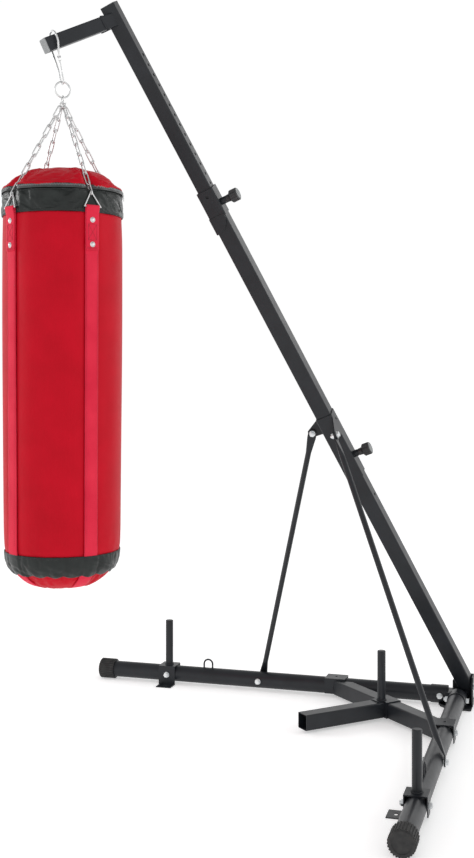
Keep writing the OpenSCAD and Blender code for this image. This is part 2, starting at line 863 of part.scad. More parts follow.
module ring() {
    color(zinc) translate([0, -bag_front, ring_z]) rotate([0, 90, 0]) torus(ring_r, ring_wire);
}

module swivel_eye() {
    head_z = yoke_top - yoke_plate - 0.2;
    color(zinc) translate([0, -bag_front, 0]) {
        translate([0, 0, eye_z]) rotate([90, 0, 0]) torus(eye_r, eye_wire);
        translate([0, 0, head_z]) cylinder(r = shank_r, h = eye_z - eye_r + 1 - head_z);
        translate([0, 0, head_z - 3]) cylinder(r = 4.5, h = 3);
    }
}

// Stirrup that turns on the eye's shank and carries the ring of the four chains.
module swivel_yoke() {
    color(zinc) translate([0, -bag_front, 0]) {
        difference() {
            translate([0, 0, yoke_top - yoke_plate]) cylinder(r = chain_ring_r + 1, h = yoke_plate);
            translate([0, 0, yoke_top - yoke_plate - 1])
                cylinder(r = shank_bore, h = yoke_plate + 2);
        }
        translate([0, 0, chain_ring_z]) torus(chain_ring_r, wire_d);
        for (a = [45 : 90 : 315]) rotate([0, 0, a + strap_turn])
            translate([chain_ring_r - 1.2, 0, chain_ring_z])
                cylinder(r = 1.4, h = yoke_top - 2 - chain_ring_z);
    }
}

// ---- Chains and straps ----

module chain(turn) {
    start = [chain_ring_r, 0, chain_ring_z];
    end = [seat_r, 0, seat_z];
    color(zinc) on_bag(turn, 0) aim(start, end) for (i = [0 : link_count - 1])
        translate([0, 0, link_in / 2 - wire_d / 2 - end_play + i * link_pitch])
            rotate([0, 0, i % 2 ? 90 : 0]) link();
}

module triangles() {
    lean_in = atan2(bar_r - apex_r, apex_z - bar_z);
    corners = [[-tri_half, 0], [tri_half, 0], [0, tri_height]];
    knuckle = tri_wire + 0.3;
    color(zinc) for (turn = strap_turns) on_bag(turn, 0)
        translate([bar_r, 0, bar_z]) rotate([0, -lean_in, 0]) rotate([0, 0, 90]) {
            for (i = [0 : 2]) wire_to(corners[i], corners[(i + 1) % 3], tri_wire, knuckle);
        }
}

function arc_of(width, r) = width / r * 180 / PI;

module strap_layer(r, low, high) {
    arc = arc_of(strap_w, r);
    rotate([0, 0, -arc / 2]) rotate_extrude(angle = arc)
        translate([r, low]) square([strap_t, high - low]);
}

// Each strap runs up the bag, round the triangle's bar and back down to its sewn end.
module straps() {
    loop_out = tri_wire / 2 + 0.2 + strap_t;
    outer_in = strap_in + strap_t + 0.1;
    color(strap_red) for (turn = strap_turns) on_bag(turn, 0) {
        difference() {
            union() {
                strap_layer(strap_in, foot_band_low + 6, bar_z - 6);
                strap_layer(outer_in - 0.1, loop_end_z, bar_z - 3);
                translate([bar_r, 0, bar_z]) rotate([90, 0, 0])
                    cylinder(r = loop_out, h = strap_w - 1, center = true, $fn = 32);
            }
            translate([bar_r, 0, bar_z]) rotate([90, 0, 0])
                cylinder(r = tri_wire / 2 + 0.2, h = 2 * strap_w, center = true, $fn = 32);
            for (z = rivet_zs) translate([0, 0, z]) rotate([0, 90, 0]) cylinder(r = 3, h = 400);
            translate([0, 0, bar_z - 40]) rotate_extrude() polygon([
                [0, -400], [shell_out(bar_z - 40), -400], [shell_out(bar_z - 40), 0],
                for (z = [bar_z - 40 : 4 : bar_z + 20]) [shell_out(z), z - bar_z + 40],
                [0, 60]
            ]);
        }
    }
}

module rivets() {
    face = strap_in + 2 * strap_t;
    color(zinc) for (turn = strap_turns, z = rivet_zs) on_bag(turn, z) rotate([0, 90, 0]) {
        translate([0, 0, strap_in]) cylinder(r = 3, h = face - strap_in);
        translate([0, 0, face]) cylinder(r1 = 6, r2 = 4.5, h = 2);
    }
}

// ---- Bag ----

skin_t = 3;
lining_t = 15;
filling_high = 760;
shoulder_in = 27;
dome_r = bag_r - shoulder_in;
foot_round = 61;
steps = 10;

// Outer radius of the bag at a height, up to the zip.
function shell_out(z) = z <= band_low ? bag_r
    : bag_r - shoulder_in * pow((z - band_low) / (band_high - band_low), 1.7);

module ring_of(inner, outer, low, high) {
    translate([0, 0, low]) difference() {
        cylinder(r = outer, h = high - low);
        translate([0, 0, -1]) cylinder(r = inner, h = high - low + 2);
    }
}

module bag_body() {
    color(bag_red) on_bag(0, 0) ring_of(bag_r - skin_t, bag_r, foot_band_high, band_low);
}

module bag_lining() {
    color("#d9d4c8") on_bag(0, 0)
        ring_of(bag_r - skin_t - lining_t, bag_r - skin_t, foot_band_low, band_low);
}

module bag_filling() {
    color("#b8b2a6") on_bag(0, 0) translate([0, 0, foot_band_low])
        cylinder(r = bag_r - skin_t - lining_t, h = filling_high - foot_band_low);
}

// Grooves pressed into the bag's round top by the four chains.
module chain_grooves(deeper) {
    room = link_w / 2 + 1.5 + deeper;
    for (turn = strap_turns) on_bag(turn, 0)
        aim([chain_ring_r, 0, chain_ring_z], [seat_r, 0, seat_z])
            cylinder(r = room, h = chain_run + 8);
}

module band_solid(less, over) {
    outer = [for (i = [0 : steps]) let (z = band_low + (band_high - band_low) * i / steps)
        [shell_out(z) - less, z]];
    difference() {
        on_bag(0, 0) rotate_extrude()
            polygon(concat([[0, band_low]], outer, [[0, band_high]]));
        chain_grooves(less);
    }
    if (over > 0) {
        on_bag(0, 0) translate([0, 0, band_low - over]) cylinder(r = bag_r - less, h = over);
        difference() {
            on_bag(0, 0) translate([0, 0, band_high]) cylinder(r = dome_r - less, h = over);
            chain_grooves(less);
        }
    }
}

module top_band() {
    color(trim_black) difference() {
        band_solid(0, 0);
        band_solid(skin_t, 1);
    }
}

module cover_solid(less, over) {
    rise = bag_high - band_high - less;
    outer = [for (i = [0 : steps])
        [(dome_r - less) * cos(90 * i / steps), rise * sin(90 * i / steps)]];
    difference() {
        union() {
            on_bag(0, band_high) rotate_extrude() polygon(concat([[0, 0]], outer));
            if (over > 0) on_bag(0, band_high - over) cylinder(r = dome_r - less, h = over);
        }
        chain_grooves(less);
    }
}

module top_cover() {
    color(bag_red) difference() {
        cover_solid(0, 0);
        cover_solid(skin_t, 1);
    }
}

// Zip's tape between the cover and the band, lying just inside their seam.
module zip() {
    color(trim_black) difference() {
        on_bag(0, 0) ring_of(dome_r - skin_t - 16, dome_r - skin_t, band_high - 8, band_high);
        chain_grooves(skin_t);
    }
}

module bottom_band() {
    color(trim_black) on_bag(0, 0)
        ring_of(bag_r - skin_t, bag_r, foot_band_low, foot_band_high);
}

module bottom_cover() {
    drop = foot_band_low - bag_low;
    flat_r = bag_r - foot_round;
    outer = [for (i = [0 : steps])
        [flat_r + foot_round * cos(90 * i / steps), -drop * sin(90 * i / steps)]];
    inner = [for (i = [steps : -1 : 0]) [
        flat_r + (foot_round - skin_t) * cos(90 * i / steps),
        -(drop - skin_t) * sin(90 * i / steps)
    ]];
    color(bag_red) on_bag(0, foot_band_low) rotate_extrude()
        polygon(concat(outer, [[0, -drop], [0, -drop + skin_t]], inner));
}

hub();
hub_pad();
hub_bolts();
leg(-1);  // leg_left
leg(1);  // leg_right
leg_cap(-1);  // leg_cap_left
leg_cap(1);  // leg_cap_right
crossbar();
saddle(-1);  // saddle_left
saddle(1);  // saddle_right
leg_bolts();
centre_clip();
stub();
centre_post();
post_saddle(-1);  // post_saddle_left
post_saddle(1);  // post_saddle_right
weight_post(-1);  // post_left
weight_post(1);  // post_right
wire_loop(-1);  // loop_left
wire_loop(1);  // loop_right
stay(-1);  // stay_left
stay(1);  // stay_right
stay_bolts();
mast_lower();
mouth_sleeve();
guide_bush();
collar();
barrel("upper");  // upper_barrel
pin("upper");  // upper_pin
knob("upper");  // upper_knob
pin_spring("upper");  // upper_spring
barrel("lower");  // lower_barrel
pin("lower");  // lower_pin
knob("lower");  // lower_knob
pin_spring("lower");  // lower_spring
mast_upper();
mast_cap();
arm();
arm_cap();
snap_hook();
hook_gate();
hook_rivet();
ring();
swivel_eye();
swivel_yoke();
chain(strap_turns[0]);  // chain_right
chain(strap_turns[1]);  // chain_back
chain(strap_turns[2]);  // chain_left
chain(strap_turns[3]);  // chain_front
triangles();
straps();
rivets();
bag_body();
bag_lining();
bag_filling();
top_band();
top_cover();
zip();
bottom_band();
bottom_cover();
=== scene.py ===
"""Looks of a free-standing punching bag: a powder-coated stand with zinc fasteners,
bright chains, and a sewn canvas bag with black trim bands, straps and rivets.

Lengths are in metres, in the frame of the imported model: +Z is up and -Y is the side
where the bag hangs. The bag's fabric is built here as sewn sheets, and short cloth
simulations give it its bulge and puckers.
"""

import json
import math

import bmesh
import bpy
from mathutils import Matrix, Vector, noise


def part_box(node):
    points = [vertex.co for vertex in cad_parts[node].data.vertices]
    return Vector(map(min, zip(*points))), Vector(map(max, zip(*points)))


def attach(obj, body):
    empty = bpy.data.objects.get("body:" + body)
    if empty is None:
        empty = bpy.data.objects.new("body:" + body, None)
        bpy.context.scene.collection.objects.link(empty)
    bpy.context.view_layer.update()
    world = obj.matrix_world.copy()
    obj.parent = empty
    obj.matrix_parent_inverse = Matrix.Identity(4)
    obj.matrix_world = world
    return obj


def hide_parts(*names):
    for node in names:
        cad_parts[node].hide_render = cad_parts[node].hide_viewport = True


TAU = 2 * math.pi
# Points round the bag in each of its cloth sheets.
COLS = 256

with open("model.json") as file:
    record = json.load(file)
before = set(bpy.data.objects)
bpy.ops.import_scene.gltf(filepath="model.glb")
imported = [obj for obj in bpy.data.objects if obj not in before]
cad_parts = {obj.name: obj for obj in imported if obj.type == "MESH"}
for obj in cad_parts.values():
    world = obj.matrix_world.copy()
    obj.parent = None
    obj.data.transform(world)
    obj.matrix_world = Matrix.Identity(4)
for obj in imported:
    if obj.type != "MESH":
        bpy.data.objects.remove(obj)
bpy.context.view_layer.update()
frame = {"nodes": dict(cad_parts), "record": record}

# ---- Places read from the frame ----

SKIN_LOW, SKIN_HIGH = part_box("bag_body")
BAG_X = (SKIN_LOW.x + SKIN_HIGH.x) / 2
BAG_Y = (SKIN_LOW.y + SKIN_HIGH.y) / 2
BAG_R = (SKIN_HIGH.x - SKIN_LOW.x) / 2 - 0.0022
BAND_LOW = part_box("top_band")[0].z
COVER_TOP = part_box("top_cover")[1].z
FOOT_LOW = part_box("bottom_band")[0].z
FOOT_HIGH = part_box("bottom_band")[1].z
BAG_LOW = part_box("bottom_cover")[0].z
FOOT_FLAT = BAG_LOW + 0.0058

# Straps, and the gap that each layer of cloth keeps from the next.
STRAP_TURNS = [math.radians(7.5) + math.radians(a) for a in (0, 90, 180, 277)]
STRAP_W = 0.040
STRAP_T = 0.0025
GAP = 0.0003
LOOP_END_Z = 1.478
RIVET_ZS = (1.561, 1.494)

# Triangles' bars and apexes, and the chains' upper ends.
BAR_R = 0.1746
BAR_Z = 1.597
BAR_WIRE = 0.004
APEX_R = 0.165
APEX_Z = 1.640
CHAIN_RING_R = 0.009
CHAIN_RING_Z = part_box("swivel_yoke")[0].z + 0.002

# The bag's round top starts at ROUND_Z and rises by CROWN_RISE.
ROUND_Z = 1.640
CROWN_RISE = COVER_TOP + 0.006 - ROUND_Z
HEM_Z = 1.665
ZIP_Z = HEM_Z - 0.0105
TAPE_LOW = ZIP_Z - 0.0105

MAST_LEAN = math.radians(31.7)
MAST_FOOT = Vector((0, 0.054, 0.0355))


def on_bag(theta, r, z):
    """Point at an angle round the bag, a radius from its axis and a height."""
    return Vector((BAG_X + r * math.cos(theta), BAG_Y + r * math.sin(theta), z))


def from_strap(theta):
    """Signed angle from the nearest strap's middle."""
    offs = [(theta - turn + math.pi) % TAU - math.pi for turn in STRAP_TURNS]
    return min(offs, key=abs)


def smooth(value, low, high):
    """0 below low, 1 above high, and an even S between."""
    t = max(0.0, min(1.0, (value - low) / (high - low)))
    return t * t * (3 - 2 * t)


# ---- Camera, floor and light ----


def make_camera():
    """Level camera at the right of the stand, with its frame shifted down a little."""
    data = bpy.data.cameras.new("camera")
    data.sensor_fit = "VERTICAL"
    data.sensor_height = 36
    data.lens = 49.7
    data.shift_y = -0.0746
    camera = bpy.data.objects.new("camera", data)
    camera.location = (3.196, -2.6075, 1.165)
    camera.rotation_euler = (math.radians(90), 0, math.radians(61.4))
    bpy.context.scene.collection.objects.link(camera)
    bpy.context.scene.camera = camera


def make_light(name, location, target, size, power):
    """Square area light at a place, turned to its target."""
    data = bpy.data.lights.new(name, "AREA")
    data.size = size
    data.energy = power
    light = bpy.data.objects.new(name, data)
    light.location = location
    light.rotation_euler = (Vector(target) - Vector(location)).to_track_quat("-Z", "Y").to_euler()
    bpy.context.scene.collection.objects.link(light)


def make_floor():
    """Plain white floor, lit a little from within so that it meets the surround."""
    reach = 30
    mesh = bpy.data.meshes.new("floor")
    corners = [(-reach, -reach, 0), (reach, -reach, 0), (reach, reach, 0), (-reach, reach, 0)]
    mesh.from_pydata(corners, [], [(0, 1, 2, 3)])
    floor = bpy.data.objects.new("floor", mesh)
    bpy.context.scene.collection.objects.link(floor)
    paint = bpy.data.materials.new("floor_paint")
    paint.use_nodes = True
    shader = paint.node_tree.nodes["Principled BSDF"]
    shader.inputs["Base Color"].default_value = (0.9, 0.9, 0.9, 1)
    shader.inputs["Roughness"].default_value = 0.9
    shader.inputs["Emission Color"].default_value = (1, 1, 1, 1)
    shader.inputs["Emission Strength"].default_value = 0.4
    mesh.materials.append(paint)


def make_studio():
    """White surround that dims overhead and underfoot, with three soft lights."""
    make_floor()
    world = bpy.data.worlds.new("studio")
    world.use_nodes = True
    tree = world.node_tree
    sky = tree.nodes["Background"]
    sky.inputs["Color"].default_value = (1, 1, 1, 1)
    where = tree.nodes.new("ShaderNodeTexCoord")
    split = tree.nodes.new("ShaderNodeSeparateXYZ")
    size = tree.nodes.new("ShaderNodeMath")
    size.operation = "ABSOLUTE"
    level = tree.nodes.new("ShaderNodeMapRange")
    level.inputs["From Min"].default_value = 0.42
    level.inputs["From Max"].default_value = 0.7
    level.inputs["To Min"].default_value = 1.02
    level.inputs["To Max"].default_value = 0.55
    tree.links.new(where.outputs["Generated"], split.inputs[0])
    tree.links.new(split.outputs["Z"], size.inputs[0])
    tree.links.new(size.outputs[0], level.inputs["Value"])
    tree.links.new(level.outputs["Result"], sky.inputs["Strength"])
    bpy.context.scene.world = world
    middle = (0, -0.7, 1.1)
    make_light("key", (-2.9, -4.2, 2.3), (0, -1.4, 1.2), 0.8, 34)
    make_light("side", (2.4, 3.0, 2.4), middle, 1.6, 26)
    make_light("back", (-2.5, 2.6, 3.0), middle, 2.0, 8)
    bpy.context.scene.view_settings.view_transform = "Standard"


# ---- Materials ----


class Paint:
    """Node-based material around one Principled shader."""

    def __init__(self, name, color, rough, metallic=0.0):
        self.material = bpy.data.materials.new(name)
        self.material.use_nodes = True
        self.tree = self.material.node_tree
        self.shader = self.tree.nodes["Principled BSDF"]
        self.set("Base Color", (*color, 1))
        self.set("Roughness", rough)
        self.set("Metallic", metallic)
        self.height = None

    def set(self, socket, value):
        self.shader.inputs[socket].default_value = value

    def node(self, kind, **values):
        made = self.tree.nodes.new(kind)
        for key, value in values.items():
            if hasattr(made, key):
                setattr(made, key, value)
            else:
                made.inputs[key].default_value = value
        return made

    def link(self, out, into):
        self.tree.links.new(out, into)

    def place(self, uv):
        """Coordinates in metres: the sheet's own, or the object's."""
        if uv:
            return self.node("ShaderNodeUVMap", uv_map="cloth").outputs["UV"]
        return self.node("ShaderNodeTexCoord").outputs["Object"]

    def noise(self, scale, detail=3.0, uv=False, stretch=(1, 1, 1)):
        """Noise value with features of about 1 / scale metres."""
        mapping = self.node("ShaderNodeMapping")
        mapping.inputs["Scale"].default_value = stretch
        self.link(self.place(uv), mapping.inputs["Vector"])
        made = self.node("ShaderNodeTexNoise")
        made.inputs["Scale"].default_value = scale
        made.inputs["Detail"].default_value = detail
        self.link(mapping.outputs["Vector"], made.inputs["Vector"])
        return made.outputs["Fac"]

    def color_by(self, value, low, high):
        """Base colour between two, by a value."""
        made = self.node("ShaderNodeValToRGB")
        ends = made.color_ramp.elements
        ends[0].position, ends[1].position = 0.3, 0.7
        ends[0].color = (*low, 1)
        ends[1].color = (*high, 1)
        self.link(value, made.inputs["Fac"])
        self.link(made.outputs["Color"], self.shader.inputs["Base Color"])

    def rough_by(self, value, low, high):
        """Roughness between two, by a value."""
        made = self.node("ShaderNodeMapRange")
        made.inputs["To Min"].default_value = low
        made.inputs["To Max"].default_value = high
        self.link(value, made.inputs["Value"])
        self.link(made.outputs["Result"], self.shader.inputs["Roughness"])

    def waves(self, pitch, axis):
        """Threads across one axis of the sheet, pitch metres apart."""
        made = self.node("ShaderNodeTexWave", bands_direction=axis)
        made.inputs["Scale"].default_value = 0.1 / pitch
        made.inputs["Distortion"].default_value = 0.0
        self.link(self.place(True), made.inputs["Vector"])
        return made.outputs["Fac"]

    def product(self, a, b):
        made = self.node("ShaderNodeMath", operation="MULTIPLY")
        self.link(a, made.inputs[0])
        self.link(b, made.inputs[1])
        return made.outputs[0]

    def bump(self, value, depth, strength):
        """Relief of a depth in metres, on top of any that is there."""
        made = self.node("ShaderNodeBump")
        made.inputs["Strength"].default_value = strength
        made.inputs["Distance"].default_value = depth
        self.link(value, made.inputs["Height"])
        if self.height is not None:
            self.link(self.height, made.inputs["Normal"])
        self.height = made.outputs["Normal"]
        self.link(self.height, self.shader.inputs["Normal"])


def powder_coat():
    """Near-black textured powder coat, with a little dust and handling wear."""
    p = Paint("powder_coat", (0.022, 0.024, 0.028), 0.42)
    p.set("Specular IOR Level", 0.3)
    p.color_by(p.noise(14, 5), (0.007, 0.0085, 0.0112), (0.0125, 0.0148, 0.0188))
    p.rough_by(p.noise(30, 4), 0.34, 0.5)
    p.bump(p.noise(1400, 2), 0.00002, 0.3)
    p.bump(p.noise(180, 2), 0.00008, 0.15)
    p.set("Coat Weight", 0.15)
    p.set("Coat Roughness", 0.25)
    return p.material


def zinc_plate():
    """Bright zinc plating with a faint cloudy bloom."""
    p = Paint("zinc_plate", (0.72, 0.74, 0.76), 0.3, 1.0)
    p.color_by(p.noise(160, 4), (0.6, 0.63, 0.66), (0.86, 0.87, 0.86))
    p.rough_by(p.noise(300, 4), 0.2, 0.42)
    p.bump(p.noise(900, 3), 0.0001, 0.35)
    return p.material


def bright_wire():
    """Polished wire of the hook, ring and chains, duller where the links rub."""
    p = Paint("bright_wire", (0.66, 0.67, 0.68), 0.4, 1.0)
    p.color_by(p.noise(120, 4), (0.56, 0.57, 0.58), (0.78, 0.78, 0.77))
    p.rough_by(p.noise(250, 3), 0.32, 0.48)
    p.bump(p.noise(1500, 2, stretch=(1, 1, 0.15)), 0.00005, 0.4)
    return p.material


def rubber():
    """Matt black rubber, paler where it is dusty."""
    p = Paint("rubber", (0.018, 0.018, 0.019), 0.7)
    p.color_by(p.noise(60, 5), (0.014, 0.014, 0.015), (0.034, 0.033, 0.032))
    p.rough_by(p.noise(90, 3), 0.58, 0.85)
    p.bump(p.noise(1800, 3), 0.00015, 0.6)
    return p.material


def moulded(name, low, high, gloss):
    """Moulded plastic with a fine spark-eroded grain."""
    p = Paint(name, low, gloss)
    p.color_by(p.noise(45, 4), low, high)
    p.rough_by(p.noise(120, 3), gloss - 0.08, gloss + 0.12)
    p.bump(p.noise(2200, 2), 0.0001, 0.5)
    return p.material


def weave(name, low, high, pitch, depth, rough, sheen):
    """Plain-woven cloth: warp and weft threads, with uneven dye and soft sheen."""
    p = Paint(name, low, rough)
    p.color_by(p.noise(9, 6, uv=True), low, high)
    p.rough_by(p.noise(400, 2, uv=True), rough - 0.06, rough + 0.08)
    threads = p.product(p.waves(pitch, "X"), p.waves(pitch, "Y"))
    p.bump(threads, depth, 0.7)
    p.bump(p.noise(55, 4, uv=True), 0.0012, 0.3)
    p.set("Specular IOR Level", 0.12)
    p.set("Sheen Weight", sheen)
    p.set("Sheen Roughness", 0.4)
    p.set("Sheen Tint", (1.0, 0.55, 0.6, 1))
    return p.material


def leatherette():
    """Black coated cloth with an embossed pebble grain."""
    p = Paint("leatherette", (0.016, 0.02, 0.019), 0.36)
    p.set("Specular IOR Level", 0.32)
    p.color_by(p.noise(25, 5, uv=True), (0.006, 0.0082, 0.0076), (0.015, 0.0195, 0.018))
    p.rough_by(p.noise(60, 4, uv=True), 0.24, 0.4)
    cells = p.node("ShaderNodeTexVoronoi", feature="DISTANCE_TO_EDGE")
    cells.inputs["Scale"].default_value = 520
    p.link(p.place(True), cells.inputs["Vector"])
    p.bump(cells.outputs["Distance"], 0.0005, 0.5)
    p.bump(p.noise(70, 5, uv=True), 0.0015, 0.35)
    return p.material


def thread(name, color):
    """Sewing thread of one colour, darker in its twist."""
    p = Paint(name, color, 0.6)
    p.color_by(p.noise(700, 2), [0.75 * c for c in color], color)
    p.bump(p.noise(3000, 2), 0.0001, 0.5)
    return p.material


def foam():
    """Cream open-cell foam."""
    p = Paint("foam", (0.75, 0.71, 0.62), 0.95)
    p.color_by(p.noise(50, 5), (0.68, 0.63, 0.53), (0.82, 0.79, 0.71))
    p.bump(p.noise(900, 4), 0.0006, 0.8)
    return p.material


def rags():
    """Shredded cloth in mixed greys and blues."""
    p = Paint("rags", (0.45, 0.42, 0.38), 0.95)
    p.color_by(p.noise(28, 6), (0.2, 0.24, 0.33), (0.62, 0.58, 0.5))
    p.bump(p.noise(60, 6), 0.004, 0.9)
    return p.material


PAINTS = {
    "frame_paint": powder_coat(),
    "rubber": rubber(),
    "black_plastic": moulded("black_plastic", (0.014, 0.015, 0.016), (0.026, 0.027, 0.029), 0.38),
    "grey_plastic": moulded("grey_plastic", (0.2, 0.21, 0.215), (0.27, 0.28, 0.28), 0.5),
    "zinc": zinc_plate(),
    "bright_chain": bright_wire(),
    "rivet_steel": bright_wire(),
    "strap_webbing": weave(
        "webbing", (0.64, 0.014, 0.044), (0.76, 0.028, 0.064), 0.0016, 0.0006, 0.62, 0.1
    ),
    "bag_canvas": weave(
        "canvas", (0.47, 0.0004, 0.0105), (0.55, 0.0008, 0.014), 0.0011, 0.0003, 0.5, 0.02
    ),
    "trim_leatherette": leatherette(),
    "zip_plastic": moulded("zip_plastic", (0.02, 0.022, 0.022), (0.05, 0.052, 0.052), 0.35),
    "lining_foam": foam(),
    "rag_filling": rags(),
}
RED_THREAD = thread("red_thread", (0.42, 0.01, 0.03))
BLACK_THREAD = thread("black_thread", (0.05, 0.055, 0.055))


def paint_cad():
    """Gives every node of the frame the procedural material of its slot."""
    for entry in frame["record"]["subparts"]:
        mesh = frame["nodes"][entry["node"]].data
        mesh.materials.clear()
        mesh.materials.append(PAINTS[entry["material_slot"]])


# ---- Mesh helpers ----


def finish_piece(name, mesh, slot, body="bag", replaces=(), material=None):
    """Links a mesh as a piece that rides on a body."""
    mesh.validate()
    piece = bpy.data.objects.new(name, mesh)
    bpy.context.scene.collection.objects.link(piece)
    mesh.materials.clear()
    mesh.materials.append(material or PAINTS[slot])
    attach(piece, body)
    if replaces:
        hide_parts(*replaces)
    return piece


def grid(name, rows, cols, point, uv, closed=True):
    """Mesh of rows by cols points. point(i, j) gives a place, uv(i, j) the cloth's own."""
    verts = [point(i, j) for i in range(rows) for j in range(cols)]
    spans = cols if closed else cols - 1
    faces = [
        (i * cols + j, i * cols + (j + 1) % cols, (i + 1) * cols + (j + 1) % cols, (i + 1) * cols + j)
        for i in range(rows - 1)
        for j in range(spans)
    ]
    mesh = bpy.data.meshes.new(name)
    mesh.from_pydata(verts, [], faces)
    layer = mesh.uv_layers.new(name="cloth")
    corner = 0
    for i in range(rows - 1):
        for j in range(spans):
            for a, b in ((i, j), (i, j + 1), (i + 1, j + 1), (i + 1, j)):
                layer.data[corner].uv = uv(a, b)
                corner += 1
    mesh.polygons.foreach_set("use_smooth", [True] * len(mesh.polygons))
    return mesh


def thicken(piece, thickness, offset=-1.0):
    """Gives a sheet its thickness, inward unless the offset says otherwise."""
    made = piece.modifiers.new("thickness", "SOLIDIFY")
    made.thickness = thickness
    made.offset = offset


def sweep(name, path, radius, sides=10, closed=False, ripple=0.0, pitch=0.004):
    """Round bead or wire along a path, with even ripples for a weld."""
    count = len(path)
    verts, faces = [], []
    run = 0.0
    for i, here in enumerate(path):
        after = path[(i + 1) % count] if closed or i + 1 < count else here
        before = path[i - 1] if closed or i else here
        way = (after - before).normalized()
        side = way.orthogonal().normalized()
        if i:
            run += (here - path[i - 1]).length
            side = (last - way * last.dot(way)).normalized()
        last = side
        up = way.cross(side)
        r = radius * (1 + ripple * math.sin(TAU * run / pitch))
        for k in range(sides):
            a = TAU * k / sides
            verts.append(here + side * (r * math.cos(a)) + up * (r * math.sin(a)))
    for i in range(count if closed else count - 1):
        a, b = i * sides, (i + 1) % count * sides
        faces += [(a + k, a + (k + 1) % sides, b + (k + 1) % sides, b + k) for k in range(sides)]
    if not closed:
        faces.append(tuple(range(sides - 1, -1, -1)))
        faces.append(tuple(range((count - 1) * sides, count * sides)))
    mesh = bpy.data.meshes.new(name)
    mesh.from_pydata(verts, [], faces)
    mesh.polygons.foreach_set("use_smooth", [True] * len(mesh.polygons))
    return mesh


def merged(name, meshes):
    """One mesh from several."""
    work = bmesh.new()
    for mesh in meshes:
        work.from_mesh(mesh)
    made = bpy.data.meshes.new(name)
    work.to_mesh(made)
    work.free()
    return made


def lathe(name, profile, place, sides=24):
    """Turned shape: profile is (radius, height) pairs, closed at both ends on the axis."""
    work = bmesh.new()
    rings = []
    for r, z in profile:
        if r < 1e-6:
            rings.append([work.verts.new(place @ Vector((0, 0, z)))])
        else:
            turns = [TAU * k / sides for k in range(sides)]
            spots = [Vector((r * math.cos(a), r * math.sin(a), z)) for a in turns]
            rings.append([work.verts.new(place @ spot) for spot in spots])
    for a, b in zip(rings, rings[1:]):
        for k in range(sides):
            quad = [a[k % len(a)], a[(k + 1) % len(a)], b[(k + 1) % len(b)], b[k % len(b)]]
            corners = list(dict.fromkeys(quad))
            if len(corners) > 2:
                work.faces.new(corners)
    bmesh.ops.recalc_face_normals(work, faces=work.faces)
    made = bpy.data.meshes.new(name)
    work.to_mesh(made)
    work.free()
    made.polygons.foreach_set("use_smooth", [True] * len(made.polygons))
    return made


def stitch_row(path, length, gap, radius):
    """Short raised stitches along a path, as one list of small meshes."""
    made = []
    walked = [0.0]
    for a, b in zip(path, path[1:]):
        walked.append(walked[-1] + (b - a).length)

    def at(distance):
        for k in range(len(path) - 1):
            if distance <= walked[k + 1]:
                t = (distance - walked[k]) / max(walked[k + 1] - walked[k], 1e-9)
                return path[k].lerp(path[k + 1], t)
        return path[-1]

    run = gap / 2
    while run + length < walked[-1]:
        start, middle, end = at(run), at(run + length / 2), at(run + length)
        made.append(sweep("stitch", [start, middle, end], radius, sides=5))
        run += length + gap
    return made


# ---- Cloth ----


def ridges(theta, z, seed, count):
    """Uneven upright folds round the bag, from -1 to 1."""
    wander = 0.6 * noise.noise(Vector((math.cos(theta) * 2, math.sin(theta) * 2, z * 14 + seed)))
    wave = math.sin(count * theta + seed + 3.2 * wander)
    size = 0.55 + 0.9 * noise.noise(Vector((math.cos(theta) * 3 + seed, math.sin(theta) * 3, 1.7)))
    return wave * max(0.1, size)


def settle(jobs, frames=22):
    """Runs all the cloth together. Each job is (piece, pins, settings, cap)."""
    for piece, pins, settings, _cap in jobs:
        group = piece.vertex_groups.new(name="pins")
        for index, weight in enumerate(pins):
            if weight > 0:
                group.add([index], weight, "REPLACE")
        cloth = piece.modifiers.new("cloth", "CLOTH")
        cloth.settings.vertex_group_mass = "pins"
        cloth.settings.quality = 6
        cloth.settings.mass = 0.25
        cloth.settings.tension_stiffness = 30
        cloth.settings.compression_stiffness = 30
        cloth.settings.shear_stiffness = 15
        cloth.settings.bending_stiffness = settings["bending"]
        cloth.settings.use_pressure = True
        cloth.settings.uniform_pressure_force = settings["pressure"]
        cloth.settings.shrink_min = -settings["slack"]
        cloth.settings.effector_weights.gravity = settings["gravity"]
        cloth.point_cache.frame_end = frames + 1
    scene = bpy.context.scene
    for number in range(1, frames + 1):
        scene.frame_set(number)
    graph = bpy.context.evaluated_depsgraph_get()
    for piece, _pins, _settings, cap in jobs:
        made = bpy.data.meshes.new_from_object(piece.evaluated_get(graph))
        for vert, moved in zip(piece.data.vertices, made.vertices):
            step = moved.co - vert.co
            if step.length > cap:
                step *= cap / step.length
            vert.co += step
        bpy.data.meshes.remove(made)
    for piece, _pins, _settings, _cap in jobs:
        piece.modifiers.remove(piece.modifiers["cloth"])
        piece.vertex_groups.clear()
    scene.frame_set(1)


def pinned(rows, hold):
    """Pin weights of a sheet, from hold(row, angle)."""
    return [hold(i, TAU * j / COLS) for i in range(rows) for j in range(COLS)]


def under_strap(theta):
    """1 under a strap, 0 away from it."""
    half = STRAP_W / 2 / BAG_R
    return 1 - smooth(abs(from_strap(theta)), half * 0.85, half * 1.2)


